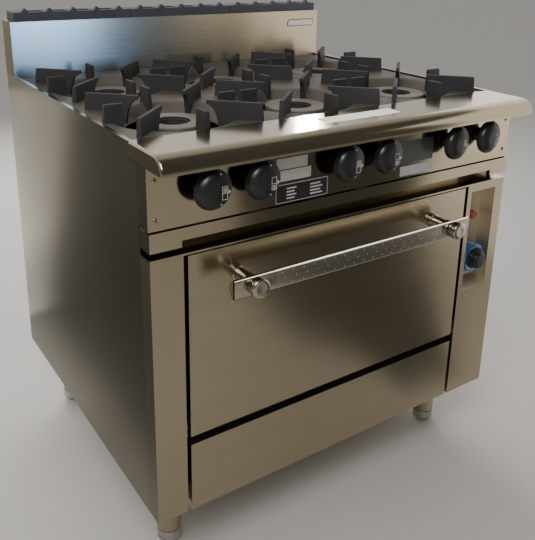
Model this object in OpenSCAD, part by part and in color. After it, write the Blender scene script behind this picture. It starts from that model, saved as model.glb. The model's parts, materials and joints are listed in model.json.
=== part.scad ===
// Commercial gas range: six open burners in three lift-off hob castings over a static oven.
// Millimetres. The origin is on the floor under the middle of the whole range, front towards -Y.
// Inside place() y is measured from the plane of the oven door's face, so 0 is that plane.

/* [Body] */
// Width across the side panels
body_w = 900; // [880:1:920]
// Depth from the door face to the rear panel
body_d = 803; // [790:1:830]
// Height of the body's underside above the floor
leg_h = 160; // [140:1:180]
// Height of the hob ledge above the floor
ledge_z = 895; // [893:1:905]
// Thickness of the folded sheet
sheet = 1.5; // [1:0.1:2]

/* [Front] */
// Width of the post left of the door
post_w = 63; // [55:1:70]
// Width of the control column right of the door
column_w = 120; // [116:1:130]
// Depth of the folded returns behind the front plane
return_d = 38; // [34:1:38]
// Height of the oven door
door_h = 370; // [350:1:376]
// Bottom edge of the oven door above the floor
door_z = 327; // [322:1:332]
// How far the rounded ledge overhangs the door face
ledge_front = 55; // [45:1:60]

/* [Handle] */
// Length of the handle bar
handle_l = 586; // [540:1:620]
// Height of the half-round handle bar
handle_h = 38; // [30:1:40]
// Distance of the bar's flat face in front of the door
handle_face = 64; // [58:1:70]
// Distance between the two handle studs
stud_pitch = 498; // [440:1:500]

/* [Burners] */
// Distance between the three hob sections
section_pitch = 294; // [290:1:294]
// Depth of the front row of burners behind the door face
front_row = 218; // [210:1:225]
// Depth of the rear row of burners behind the door face
rear_row = 535; // [525:1:550]
// Outer radius of the burner head
head_r = 66; // [60:1:68]
// Radius of the well around each burner
well_r = 134; // [128:1:136]
// Height of the pan supports above the hob castings
fin_h = 34; // [28:1:40]
// Thickness of the pan supports
fin_t = 10; // [8:1:12]

/* [Controls] */
// Radius of a burner knob
knob_r = 36; // [30:1:38]
// Depth of the neck that holds the disc of a burner knob off the panel
knob_neck = 23; // [22.5:0.5:24]
// Height of the half-round grip on the disc
knob_grip = 13; // [8:0.5:13]
// Distance of each knob from the middle of its section
knob_offset = 50; // [42:1:52]
// Height of the knob axes above the floor
knob_z = 819; // [814:1:822]

/* [Hidden] */
$fn = 64;

STEEL = "silver";
CAST = "dimgray";
BLACK = "black";
BRASS = "goldenrod";

half_w = body_w / 2;
hair = 0.3;                       // gap between parts that must not touch
eps = 0.1;                        // how far a cutter passes its face

// Front to back
stud_front = handle_face + 18;
inlet_out = 30;
front_y = -(body_d + inlet_out - stud_front) / 2;
hob_y0 = 72;
hob_y1 = body_d - 67;
panel_y = 3.5;
back_wall_y = 38;                 // back of the recess in the control column
oven_y0 = 50;
oven_y1 = 700;

// Heights
rail_z = door_z + door_h + 6;
rail_lip = 3.5;                   // height of the top rail's front fold
post_z1 = rail_z - rail_lip - hair;
tray_z0 = rail_z + 13;
tray_z1 = tray_z0 + 35;
panel_z0 = tray_z1 + 2;
nose_r = 31;                      // radius of the ledge's rounded front
panel_z1 = ledge_z - nose_r;
kick_top = door_z - 18;
plate_z = ledge_z - 4;            // top face of the hob castings
fin_top = plate_z + fin_h;
head_top = plate_z - 11;
splash_top = ledge_z + 127;
cavity_z0 = door_z + 23;
cavity_z1 = door_z + 349;
sole_z = cavity_z0 + 24;

// Left to right
post_x = -half_w + post_w;
column_x = half_w - column_w;
door_x0 = post_x + 8.5;
door_x1 = column_x - 9.5;
door_cx = (door_x0 + door_x1) / 2;
seam_x = -125;                    // joint between the two spill trays
cavity_x0 = door_x0 + 33.5;
cavity_x1 = door_x1 - 33.5;

// Recess, thermostat and igniter in the control column
recess_x0 = column_x + 13;
recess_x1 = half_w - 28;
recess_z0 = 432;
recess_z1 = 683;
recess_rise = 19;                 // how much the recess floor climbs to the back
stat_x = (recess_x0 + recess_x1) / 2;
stat_z = 509;
bezel_r = 36;
igniter_x = stat_x + 8;
igniter_z = 610;

// Door hinge axis
hinge_y = 20;
hinge_z = door_z + 9;
hinge_pin_r = 5;
running = 0.05;                   // radial clearance of a turning shaft
arm_w = 14;

// Controls
spindle_r = 4;
valve_y0 = 18;
valve_y1 = 60;
manifold_y = 66;
manifold_z = knob_z - 24;
manifold_r = 10.7;
inlet_x = half_w - 25;
inlet_r = 13.2;
drop_x = half_w - 10;

// Legs
leg_r = 25.4;
leg_x = half_w - 74;
leg_front = 112;
leg_rear = body_d - 101;
foot_top = 34;

// Burners
well_depth = 26;
well_hole = 90;
well_lip = 24;                    // radius of the rolled lip of a well
casting_t = 6;
fin_inner = 68;
fin_outer = 180;
short_inner = 101;
short_outer = 141;

function section_x(i) = (i - 1) * section_pitch;
function knob_x(i) = section_x(floor((i - 1) / 2)) + (i % 2 == 1 ? -knob_offset : knob_offset);
function row_y(i) = i % 2 == 1 ? front_row : rear_row;
function wall_angle() = atan2(well_depth - well_lip * 0.12, well_r - well_hole - well_lip * 0.5);
function arc(cx, cy, rx, ry, a0, a1, n) =
    [for (k = [0 : n]) let (a = a0 + (a1 - a0) * k / n) [cx + rx * cos(a), cy + ry * sin(a)]];

module place() {
    translate([0, front_y, 0]) children();
}

module block(x0, x1, y0, y1, z0, z1) {
    translate([x0, y0, z0]) cube([x1 - x0, y1 - y0, z1 - z0]);
}

module rod_x(x0, x1, y, z, r) {
    translate([x0, y, z]) rotate([0, 90, 0]) cylinder(h = x1 - x0, r = r);
}

module rod_y(x, z, y0, y1, r, r_end = -1) {
    translate([x, y0, z]) rotate([-90, 0, 0]) cylinder(h = y1 - y0, r1 = r, r2 = r_end < 0 ? r : r_end);
}

module rod_z(x, y, z0, z1, r) {
    translate([x, y, z0]) cylinder(h = z1 - z0, r = r);
}

// Extrudes an outline drawn as [y, z] points along X
module along_x(x0, x1) {
    translate([x0, 0, 0]) rotate([90, 0, 90]) linear_extrude(height = x1 - x0) children();
}

// A sheet folded into a tray that opens to the back
module pan_back(x0, x1, z0, z1, y0, depth) {
    difference() {
        block(x0, x1, y0, y0 + depth, z0, z1);
        block(x0 + sheet, x1 - sheet, y0 + sheet, y0 + depth + eps, z0 + sheet, z1 - sheet);
    }
}

// ---------------------------------------------------------------- body shell

module side_panel() {
    front_fold = 25;
    rear_fold = 10;
    top_fold = 8.5;
    under_ledge = panel_z1 - 1;
    y1 = body_d - sheet - hair;
    x_out = -half_w;
    block(x_out, x_out + sheet, return_d, y1, leg_h, under_ledge);
    block(x_out, x_out + sheet, hob_y0 + hair, y1, under_ledge, ledge_z - hair);
    block(x_out, x_out + front_fold, return_d, return_d + sheet, leg_h, post_z1);
    block(x_out, x_out + rear_fold, y1 - sheet, y1, leg_h, under_ledge);
    block(x_out, x_out + front_fold, return_d, y1, leg_h, leg_h + sheet);
    block(x_out, x_out + top_fold, hob_y0 + hair, hob_y1 - hair, ledge_z - hair - sheet, ledge_z - hair);
}

module left_side_panel() {
    place() color(STEEL) side_panel();
}

module right_side_panel() {
    place() color(STEEL) mirror([1, 0, 0]) side_panel();
}

module rear_panel() {
    slot_w = 120;
    slot_h = 6;
    place() color(STEEL) difference() {
        block(-half_w + 2, half_w - 2, body_d - sheet, body_d, leg_h + 2, ledge_z - hair);
        for (col = [-2 : 2], level = [0 : 5]) {
            x0 = col * 160 - slot_w / 2;
            z0 = 240 + level * 22;
            block(x0, x0 + slot_w, body_d - sheet - eps, body_d + eps, z0, z0 + slot_h);
        }
        rod_y(inlet_x, manifold_z, body_d - sheet - eps, body_d + eps, manifold_r + 1);
    }
}

module base_pan() {
    z0 = leg_h + sheet;
    wall = 20;
    x1 = half_w - sheet - hair;
    y0 = return_d + 4;
    y1 = body_d - 6;
    place() color(STEEL) difference() {
        block(-x1, x1, y0, y1, z0, z0 + wall);
        block(-x1 + sheet, x1 - sheet, y0 + sheet, y1 - sheet, z0 + sheet, z0 + wall + eps);
    }
}

module left_front_post() {
    place() color(STEEL) pan_back(-half_w, post_x, leg_h, post_z1, 0, return_d - hair);
}

module control_column() {
    place() color(STEEL) difference() {
        pan_back(column_x, half_w, leg_h, post_z1, 0, return_d - hair);
        block(recess_x0, recess_x1, -eps, sheet + eps, recess_z0, recess_z1);
    }
}

// Side outline of the recess as [y, z], with its floor climbing to the back
module recess_outline(grow) {
    polygon([
        [0, recess_z0 - grow],
        [back_wall_y + grow, recess_z0 + recess_rise - grow],
        [back_wall_y + grow, recess_z1 + grow],
        [0, recess_z1 + grow]
    ]);
}

module column_recess() {
    wall = 1.2;
    place() color(STEEL) difference() {
        intersection() {
            along_x(recess_x0 - wall, recess_x1 + wall) recess_outline(wall);
            block(recess_x0 - 2 * wall, recess_x1 + 2 * wall, sheet, back_wall_y + wall,
                  recess_z0 - wall, recess_z1 + wall);
        }
        along_x(recess_x0, recess_x1) recess_outline(0);
        rod_y(stat_x, stat_z, back_wall_y - 1, back_wall_y + 2 * wall, spindle_r + 2);
        rod_y(igniter_x, igniter_z, back_wall_y - 1, back_wall_y + 2 * wall, 5.5);
    }
}

// Lies across both posts and closes the top of the door opening
module oven_top_rail() {
    rail_y1 = 46;
    back_fold = 10;
    y1 = return_d - hair;
    x1 = half_w - sheet - hair;
    place() color(STEEL) {
        block(-half_w, half_w, 0, y1, rail_z - sheet, rail_z);
        block(-x1, x1, y1, rail_y1, rail_z - sheet, rail_z);
        block(-half_w, half_w, 0, sheet, rail_z - rail_lip, rail_z - sheet);
        for (x0 = [-half_w, half_w - sheet])
            block(x0, x0 + sheet, sheet, y1, rail_z - rail_lip, rail_z - sheet);
        block(-x1, x1, rail_y1 - sheet, rail_y1, rail_z, rail_z + back_fold);
    }
}

module kick_panel() {
    place() color(STEEL) {
        block(door_x0, door_x1, 0, sheet, leg_h, kick_top);
        block(door_x0, door_x1, sheet, 16, kick_top - sheet, kick_top);
        block(door_x0, door_x1, sheet, 16, leg_h, leg_h + sheet);
        block(door_x0, door_x0 + sheet, sheet, 16, leg_h + sheet, kick_top - sheet);
        block(door_x1 - sheet, door_x1, sheet, 16, leg_h + sheet, kick_top - sheet);
    }
}

screw_xz = [for (sx = [-1, 1], z = [panel_z0 + 19, panel_z1 - 22]) [sx * (half_w - 14), z]];

module control_panel() {
    top_fold = 16;
    y0 = panel_y;
    place() color(STEEL) difference() {
        union() {
            block(-half_w, half_w, y0, y0 + sheet, panel_z0, panel_z1 - hair);
            for (side = [-1, 1]) {
                x0 = side < 0 ? -half_w : half_w - sheet;
                block(x0, x0 + sheet, y0, return_d - hair, panel_z0, panel_z1 - hair);
            }
            block(-half_w, half_w, y0, y0 + top_fold, panel_z0, panel_z0 + sheet);
            block(-half_w, half_w, y0, y0 + top_fold, panel_z1 - hair - sheet, panel_z1 - hair);
        }
        for (i = [1 : 6]) rod_y(knob_x(i), knob_z, y0 - eps, y0 + sheet + eps, spindle_r + 2.5);
        for (s = screw_xz) rod_y(s[0], s[1], y0 - eps, y0 + sheet + eps, 2.3);
    }
}

module panel_screws() {
    place() color(STEEL) for (s = screw_xz) {
        rod_y(s[0], s[1], panel_y, panel_y + 12, 2);
        rod_y(s[0], s[1], panel_y - 2.6, panel_y, 3.4, 4.6);
    }
}

// Outline of the ledge sheet as [y, z], its outer face moved in by d
function ledge_outline(d) = concat(
    [[hob_y0 - d, ledge_z - d]],
    arc(-ledge_front + nose_r, panel_z1, nose_r - d, nose_r - d, 90, 180 - asin(d / (nose_r - d)), 16)
);

module front_ledge() {
    lip = 12;
    place() color(STEEL) difference() {
        along_x(-half_w, half_w) polygon(concat(ledge_outline(0), [[hob_y0, panel_z1]]));
        along_x(-half_w + sheet, half_w - sheet) polygon(concat(ledge_outline(sheet), [
            [-ledge_front + lip, panel_z1 + sheet],
            [-ledge_front + lip, panel_z1 - eps],
            [hob_y0 - sheet, panel_z1 - eps]
        ]));
    }
}

module splashback_panel() {
    place() color(STEEL) {
        block(-half_w, half_w, hob_y1, hob_y1 + sheet, ledge_z, splash_top);
        block(-half_w + 10, half_w - 10, hob_y1, hob_y1 + sheet, plate_z - 14, ledge_z);
        block(-half_w, half_w, hob_y1 + sheet, hob_y1 + 5, splash_top - sheet, splash_top);
    }
}

module flue_box() {
    y0 = hob_y1 + 5 + hair;
    place() color(STEEL) {
        for (side = [-1, 1]) {
            x0 = side < 0 ? -half_w : half_w - sheet;
            block(x0, x0 + sheet, hob_y1 + sheet + hair, body_d, ledge_z, splash_top - sheet - hair);
            block(x0, x0 + sheet, y0, body_d, splash_top - 2 * sheet, splash_top);
        }
        block(-half_w, half_w, body_d - sheet, body_d, ledge_z, splash_top);
        block(-half_w, half_w, body_d - 9, body_d, splash_top - sheet, splash_top);
        block(-half_w, -half_w + 9, y0, body_d, splash_top - sheet, splash_top);
        block(half_w - 9, half_w, y0, body_d, splash_top - sheet, splash_top);
    }
}

module flue_cap(cx) {
    cap_y0 = hob_y1 + 5;
    cap_y1 = body_d - 8;
    z0 = splash_top + hair;
    z1 = splash_top + 21;
    half = section_pitch / 2 - 1;
    tooth_gap = section_pitch / 5;
    tooth_l = 11;
    difference() {
        block(cx - half, cx + half, cap_y0, cap_y1, z0, z1);
        for (k = [-2 : 1]) {
            x0 = cx + k * tooth_gap + 10;
            block(x0, x0 + tooth_gap - 20, cap_y0 + 14, cap_y1 - 8, z0 - eps, z1 + eps);
        }
    }
    for (k = [-2 : 2])
        translate([cx + k * tooth_gap, cap_y0 + tooth_l, z1 - eps]) rotate([90, 0, 0])
            linear_extrude(height = tooth_l) polygon([[-8, 0], [8, 0], [1.5, 9], [-1.5, 9]]);
}

module flue_caps() {
    place() color(CAST) for (i = [0 : 2]) flue_cap(section_x(i));
}

// ---------------------------------------------------------------- oven

module oven_liner() {
    frame_w = 26;
    place() color(STEEL) {
        difference() {
            block(cavity_x0, cavity_x1, oven_y0, oven_y1, cavity_z0, cavity_z1);
            block(cavity_x0 + sheet, cavity_x1 - sheet, oven_y0 - eps, oven_y1 - sheet,
                  cavity_z0 + sheet, cavity_z1 - sheet);
        }
        difference() {
            block(cavity_x0 - frame_w, cavity_x1 + frame_w, oven_y0 - sheet, oven_y0,
                  cavity_z0 - 12, cavity_z1 + 18);
            block(cavity_x0 + sheet, cavity_x1 - sheet, oven_y0 - 2 * sheet, oven_y0 + sheet,
                  cavity_z0 + sheet, cavity_z1 - sheet);
        }
    }
}

module oven_insulation() {
    wall = 25;
    place() color("khaki") difference() {
        block(cavity_x0 - wall, cavity_x1 + wall, oven_y0 + hair, oven_y1 + wall,
              cavity_z0 - wall, cavity_z1 + wall);
        block(cavity_x0 - hair, cavity_x1 + hair, oven_y0, oven_y1 + hair,
              cavity_z0 - hair, cavity_z1 + hair);
    }
}

module oven_sole_plate() {
    edge = 14;
    x0 = cavity_x0 + edge;
    x1 = cavity_x1 - edge;
    y0 = oven_y0 + 8;
    y1 = oven_y1 - 22;
    place() color(CAST) {
        difference() {
            block(x0, x1, y0, y1, sole_z, sole_z + 4);
            for (k = [0 : 9], side = [0, 1]) {
                slot_x = side == 0 ? x0 + 10 : x1 - 22;
                slot_y = y0 + 35 + k * 56;
                block(slot_x, slot_x + 12, slot_y, slot_y + 36, sole_z - eps, sole_z + 4 + eps);
            }
        }
        for (x = [x0 + 12, x1 - 12], y = [y0 + 12, y1 - 12])
            rod_z(x, y, cavity_z0 + sheet, sole_z, 7);
    }
}

guide_levels = [430, 480, 530, 580, 630];
guide_r = 3;

module rack_guides() {
    inset = 12;
    place() color(STEEL) for (side = [-1, 1]) {
        x = side < 0 ? cavity_x0 + inset : cavity_x1 - inset;
        wall_x = side < 0 ? cavity_x0 + sheet : cavity_x1 - sheet;
        for (y = [90, 380, 650]) {
            rod_z(x, y, sole_z + 12, cavity_z1 - 18, guide_r);
            rod_x(min(x, wall_x), max(x, wall_x), y, sole_z + 24, guide_r);
            rod_x(min(x, wall_x), max(x, wall_x), y, cavity_z1 - 30, guide_r);
        }
        for (z = guide_levels) rod_y(x - side * 6, z, 74, 664, guide_r);
        for (z = guide_levels, y = [90, 380, 650])
            rod_x(min(x, x - side * 6), max(x, x - side * 6), y, z, guide_r);
    }
}

module oven_rack(level) {
    wire_r = 3;
    z = level + guide_r + wire_r + hair;
    x0 = cavity_x0 + 19;
    x1 = cavity_x1 - 19;
    y0 = 76;
    y1 = 640;
    place() color(STEEL) {
        for (x = [x0, x1]) rod_y(x, z, y0 - wire_r, y1 + wire_r, wire_r);
        for (y = [y0, (y0 + y1) / 2, y1]) rod_x(x0, x1, y, z, wire_r);
        for (k = [1 : 13]) rod_y(x0 + k * (x1 - x0) / 14, z, y0, y1, 2);
    }
}

module oven_rack_upper() {
    oven_rack(guide_levels[3]);
}

module oven_rack_lower() {
    oven_rack(guide_levels[1]);
}

module oven_burner() {
    z = cavity_z0 + 12;
    r = 8;
    bar_y0 = 110;
    bar_y1 = 560;
    place() color(CAST) {
        for (x = [door_cx - 150, door_cx + 150]) {
            rod_y(x, z, bar_y0, bar_y1, r);
            translate([x, bar_y0, z]) sphere(r = r);
            translate([x, bar_y1, z]) sphere(r = r);
        }
        rod_x(door_cx - 150, door_cx + 150, bar_y0, z, r);
    }
}

// ---------------------------------------------------------------- gas system

module gas_manifold() {
    branch_r = 6;
    place() color(BRASS) {
        rod_x(-half_w + 20, drop_x, manifold_y, manifold_z, manifold_r);
        rod_y(inlet_x, manifold_z, manifold_y, body_d + 1, manifold_r);
        rod_y(inlet_x, manifold_z, body_d + 0.5, body_d + inlet_out, inlet_r);
        rod_z(drop_x, manifold_y, stat_z, manifold_z, branch_r);
        rod_x(stat_x + 16.5, drop_x, manifold_y, stat_z, branch_r);
        translate([drop_x, manifold_y, stat_z]) sphere(r = branch_r);
        translate([drop_x, manifold_y, manifold_z]) sphere(r = branch_r + 1);
    }
}

module burner_valves() {
    body_r = 12;
    place() color(BRASS) for (i = [1 : 6]) difference() {
        union() {
            rod_y(knob_x(i), knob_z, valve_y0, valve_y1, body_r);
            rod_y(knob_x(i), knob_z, valve_y1 - 1, valve_y1 + 26, 6);
            block(knob_x(i) - 9, knob_x(i) + 9, manifold_y - 16, manifold_y + 9,
                  manifold_z, knob_z);
        }
        rod_x(knob_x(i) - 20, knob_x(i) + 20, manifold_y, manifold_z, manifold_r + 0.1);
        rod_y(knob_x(i), knob_z, valve_y0 - 1, 47, spindle_r + running);
    }
}

module thermostat_valve() {
    place() color(BRASS) difference() {
        union() {
            rod_y(stat_x, stat_z, back_wall_y + 1.5, 104, 16);
            rod_z(stat_x, 84, stat_z - 40, stat_z, 7);
        }
        rod_y(stat_x, stat_z, back_wall_y, 68, spindle_r + running);
    }
}

module burner_heads() {
    base_z = head_top - 26;
    place() color(CAST) for (i = [1 : 6])
        translate([section_x(floor((i - 1) / 2)), row_y(i), 0]) rotate_extrude()
            polygon([
                [36, base_z], [54, base_z], [54, base_z + 8], [head_r - 4, base_z + 12],
                [head_r, base_z + 18], [head_r, head_top - 1.5], [head_r - 1.5, head_top],
                [34, head_top], [34, head_top - 4], [30, head_top - 4], [30, head_top - 10],
                [26, head_top - 10], [26, base_z + 4]
            ]);
}

module burner_tubes() {
    r = 12;
    bell_y = valve_y1 + 30;
    place() color(CAST) for (i = [1 : 6]) {
        cx = section_x(floor((i - 1) / 2));
        x0 = min(cx, knob_x(i));
        x1 = max(cx, knob_x(i));
        top = head_top - 26 - hair;
        difference() {
            rod_y(knob_x(i), knob_z, bell_y, bell_y + 22, 17, r);
            rod_y(knob_x(i), knob_z, bell_y - eps, bell_y + 14, 13, 8);
        }
        rod_y(knob_x(i), knob_z, bell_y + 21, row_y(i), r);
        translate([knob_x(i), row_y(i), knob_z]) sphere(r = r);
        rod_x(x0, x1, row_y(i), knob_z, r);
        rod_z(cx, row_y(i), knob_z - r, top, 24);
        rod_z(cx, row_y(i), top - 6, top, 50);
    }
}

// ---------------------------------------------------------------- hob

// Height of a well's face at radius r, as one point of its outline
function well_face() = concat(
    arc(well_r, plate_z - well_lip, well_lip, well_lip, 90, 90 + wall_angle(), 8),
    [[well_hole, plate_z - well_depth]]
);

function face_z(r) = let (p = well_face(), n = len(p))
    r >= well_r ? plate_z : max([for (k = [0 : n - 2])
        r <= p[k][0] && r >= p[k + 1][0]
        ? p[k][1] + (p[k + 1][1] - p[k][1]) * (p[k][0] - r) / (p[k][0] - p[k + 1][0]) : 0]);

module well() {
    p = well_face();
    n = len(p);
    rotate_extrude(convexity = 4) polygon(concat(
        [[well_r + 1, plate_z]], p,
        [[well_hole, plate_z - well_depth - casting_t]],
        [for (k = [n - 2 : -1 : 0]) [p[k][0] + casting_t * 0.45 * k / n, p[k][1] - casting_t]],
        [[well_r + 1, plate_z - casting_t]]
    ));
}

module fin(points) {
    rotate([90, 0, 0]) translate([0, 0, -fin_t / 2]) linear_extrude(height = fin_t) polygon(points);
}

module long_fin() {
    sink = 1.5;
    foot_r = well_hole + 3;
    foot_z = face_z(foot_r) - sink;
    fin(concat(
        [[fin_inner, fin_top - 8], [fin_inner, fin_top], [fin_outer - 1, fin_top],
         [fin_outer, plate_z - sink], [well_r, plate_z - sink]],
        [for (r = [well_r - 8 : -8 : foot_r + 2]) [r, face_z(r) - sink]],
        arc(fin_inner, foot_z, foot_r - fin_inner, fin_top - 8 - foot_z, 0, 84, 10)
    ));
}

module short_fin() {
    sink = 1.5;
    fin(concat(
        [[short_inner, fin_top], [short_outer, fin_top]],
        [for (r = [short_outer : -5 : short_inner + 1]) [r, face_z(r) - sink]],
        [[short_inner, face_z(short_inner) - sink]]
    ));
}

module hob_casting(i) {
    half = section_pitch / 2 - 0.5;
    place() color(CAST) {
        difference() {
            block(section_x(i) - half, section_x(i) + half, hob_y0 + 1, hob_y1 - 1,
                  plate_z - casting_t, plate_z);
            for (y = [front_row, rear_row])
                rod_z(section_x(i), y, plate_z - 2 * casting_t, plate_z + 1, well_r);
        }
        for (y = [front_row, rear_row]) translate([section_x(i), y, 0]) {
            well();
            for (a = [45 : 90 : 315]) rotate([0, 0, a]) long_fin();
            for (a = [0 : 90 : 270]) rotate([0, 0, a]) short_fin();
        }
    }
}

module hob_casting_left() {
    hob_casting(0);
}

module hob_casting_centre() {
    hob_casting(1);
}

module hob_casting_right() {
    hob_casting(2);
}

module hob_rails() {
    z1 = plate_z - casting_t - hair;
    z0 = z1 - 16;
    tray_rest = tray_z0 + 14 - hair;
    runner_y0 = 80;
    runner_y1 = 692;
    place() color(STEEL) {
        for (x = [-section_pitch / 2, section_pitch / 2]) block(x - 7, x + 7, 78, 730, z0, z1);
        for (side = [-1, 1]) {
            x0 = side < 0 ? -half_w + sheet : half_w - 18;
            block(x0, x0 + 18 - sheet, 78, 730, z0, z1);
            runner_x0 = side < 0 ? -half_w + sheet : half_w - 36;
            block(runner_x0, runner_x0 + 36 - sheet, runner_y0, runner_y1, tray_rest - 2, tray_rest);
        }
        block(-half_w + sheet, half_w - sheet, 74, 78, z0, z1);
        block(-half_w + sheet, half_w - sheet, 730, 734, z0, z1);
        block(seam_x - 12, seam_x + 12, runner_y0, runner_y1, tray_rest - 2, tray_rest);
        for (y = [runner_y0, runner_y1 - 12])
            block(-half_w + sheet, half_w - sheet, y, y + 12, tray_rest - 7, tray_rest - 2);
    }
}

// ---------------------------------------------------------------- spill trays

module spill_tray(x0, x1, pan_x0, pan_x1, slot_x0, slot_x1) {
    pan_z0 = tray_z0 + 14;
    pan_z1 = tray_z1 - 2;
    pan_y1 = 700;
    place() color(STEEL) {
        difference() {
            block(x0, x1, -1, -1 + sheet, tray_z0, tray_z1);
            block(slot_x0, slot_x1, -2, sheet, tray_z0 - 1, tray_z0 + 12.5);
        }
        difference() {
            block(pan_x0, pan_x1, -1 + sheet, pan_y1, pan_z0, pan_z1);
            block(pan_x0 + sheet, pan_x1 - sheet, 2 * sheet, pan_y1 - sheet, pan_z0 + sheet, pan_z1 + eps);
        }
    }
}

module spill_tray_left() {
    spill_tray(-half_w, seam_x - hair, -half_w + 28, seam_x - 3, -half_w + 60, seam_x + 1);
    place() color(STEEL)
        block(-half_w, -half_w + sheet, 0, return_d - 2 * hair, tray_z0, tray_z1);
}

module spill_tray_right() {
    spill_tray(seam_x + hair, half_w, seam_x + 3, half_w - 28, seam_x - 1, half_w - 55);
    place() color(STEEL)
        block(half_w - sheet, half_w, 0, return_d - 2 * hair, tray_z0, tray_z1);
}

// ---------------------------------------------------------------- door

module hinge_holes(r) {
    for (x = [door_x0, door_x1]) rod_x(x - 6, x + 6, hinge_y, hinge_z, r);
}

module door_outer_skin() {
    place() color(STEEL) difference() {
        pan_back(door_x0, door_x1, door_z, door_z + door_h, 0, 36);
        hinge_holes(hinge_pin_r + 1);
    }
}

module door_inner_pan() {
    y0 = 36.2;
    border = 28;
    place() color(STEEL) {
        difference() {
            union() {
                block(door_x0 + 2, door_x1 - 2, y0, y0 + sheet, door_z + 2, door_z + door_h - 2);
                block(door_x0 + border, door_x1 - border, y0, 42,
                      door_z + border, door_z + door_h - border);
            }
            block(door_x0 + border + sheet, door_x1 - border - sheet, y0 - eps, 42 - sheet,
                  door_z + border + sheet, door_z + door_h - border - sheet);
        }
    }
}

module door_insulation() {
    arm = arm_w + 6;
    place() color("khaki") difference() {
        block(door_x0 + 3, door_x1 - 3, 3, 35, door_z + 3, door_z + door_h - 3);
        for (x = [door_x0, door_x1]) block(x - arm, x + arm, 2, 36, door_z, door_z + 32);
    }
}

module door_seal() {
    inset = 16;
    w = 8;
    place() color(BLACK) difference() {
        block(door_x0 + inset, door_x1 - inset, 37.9, 48.1, door_z + inset, door_z + door_h - inset);
        block(door_x0 + inset + w, door_x1 - inset - w, 37, 49, door_z + inset + w,
              door_z + door_h - inset - w);
    }
}

module hinge_arms() {
    place() color(STEEL) difference() {
        for (side = [0, 1]) {
            x0 = side == 0 ? door_x0 + sheet + hair : door_x1 - sheet - hair - arm_w;
            block(x0, x0 + arm_w, 4, 34, door_z + 2, door_z + 29);
        }
        rod_x(door_x0, door_x1, hinge_y, hinge_z, hinge_pin_r + running);
    }
}

module hinge_brackets() {
    plate_t = 5;
    place() color(STEEL) for (side = [0, 1]) {
        x0 = side == 0 ? post_x : column_x - plate_t;
        pin_x0 = side == 0 ? post_x + plate_t : door_x1 - sheet - arm_w;
        pin_x1 = side == 0 ? door_x0 + sheet + arm_w : column_x - plate_t;
        block(x0, x0 + plate_t, 8, 36, hinge_z - 12, hinge_z + 20);
        rod_x(pin_x0, pin_x1, hinge_y, hinge_z, hinge_pin_r);
    }
}

handle_z = door_z + 315;
handle_cx = door_cx - 1;
bar_r = handle_h / 2;
cap_t = 3;

module half_round(r) {
    intersection() {
        circle(r = r);
        translate([0, -r]) square([r, 2 * r]);
    }
}

module handle_section(r) {
    translate([-handle_face, handle_z]) half_round(r);
}

module handle_bar() {
    x0 = handle_cx - handle_l / 2 + cap_t;
    x1 = handle_cx + handle_l / 2 - cap_t;
    wall = 2.5;
    place() color(STEEL) difference() {
        along_x(x0, x1) handle_section(bar_r);
        along_x(x0 - 1, x1 + 1) translate([wall, 0]) handle_section(bar_r - wall * 1.8);
        for (s = [-1, 1])
            rod_y(handle_cx + s * stud_pitch / 2, handle_z, -handle_face - 1, 0, 5.5);
    }
}

module handle_caps() {
    place() color(STEEL) for (s = [-1, 1]) {
        x0 = s < 0 ? handle_cx - handle_l / 2 : handle_cx + handle_l / 2 - cap_t;
        along_x(x0, x0 + cap_t) handle_section(bar_r);
    }
}

module handle_studs() {
    knob = 18.5;
    stem = 15;
    place() color(STEEL) for (s = [-1, 1]) {
        x = handle_cx + s * stud_pitch / 2;
        rod_y(x, handle_z, -handle_face - 1, -2, 5);
        rod_y(x, handle_z, -stud_front + 3, -handle_face, knob);
        rod_y(x, handle_z, -stud_front, -stud_front + 3, knob - 3, knob);
        difference() {
            rod_y(x, handle_z, -handle_face + bar_r - 8, 0, stem);
            rod_x(x - 20, x + 20, -handle_face, handle_z, bar_r + 0.1);
        }
    }
}

// ---------------------------------------------------------------- controls

// A knob on the Y axis at the origin, its face towards -Y, the back of its disc at y = 0.
// The grip on the disc narrows from base_r to top_r and is cut flat on its right.
module knob(disc_r, disc_h, base_r, top_r, height, flat_x) {
    rim = 1.5;
    rod_y(0, 0, rim - disc_h, 0, disc_r);
    rod_y(0, 0, -disc_h, rim - disc_h, disc_r - rim, disc_r);
    difference() {
        rod_y(0, 0, -height, rim - disc_h, top_r, base_r);
        block(flat_x, disc_r, -height - 1, -disc_h, -disc_r, disc_r);
    }
}

module burner_knob(i) {
    disc = 5.5;
    neck_r = 16;
    place() color(BLACK) translate([knob_x(i), -0.5, knob_z]) difference() {
        union() {
            translate([0, -knob_neck, 0])
                knob(knob_r, disc, knob_r - 1.5, knob_r - 11, disc + knob_grip, 4.5);
            rod_y(0, 0, -knob_neck - 1, 0, neck_r);
        }
        rod_y(0, 0, -22, 1, spindle_r + running);
    }
}

module valve_spindle(i) {
    place() color(STEEL) rod_y(knob_x(i), knob_z, -15, 44, spindle_r);
}

module thermostat_bezel() {
    place() color("steelblue") translate([stat_x, 0, stat_z])
        rotate([90, 0, 0]) translate([0, 0, -back_wall_y])
        rotate_extrude() polygon([
            [bezel_r - 3, 0], [bezel_r - 1, 0], [bezel_r - 1, back_wall_y - 8], [bezel_r, back_wall_y - 7],
            [bezel_r - 2, back_wall_y - 4], [25, back_wall_y - 4], [25, back_wall_y - 7],
            [bezel_r - 3, back_wall_y - 7]
        ]);
}

module thermostat_knob() {
    place() color(BLACK) translate([stat_x, 10, stat_z]) difference() {
        knob(23, 6, 22, 16, 26, 12);
        rod_y(0, 0, -16, 1, spindle_r + running);
    }
}

module thermostat_spindle() {
    place() color(STEEL) rod_y(stat_x, stat_z, -1, 62, spindle_r);
}

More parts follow.
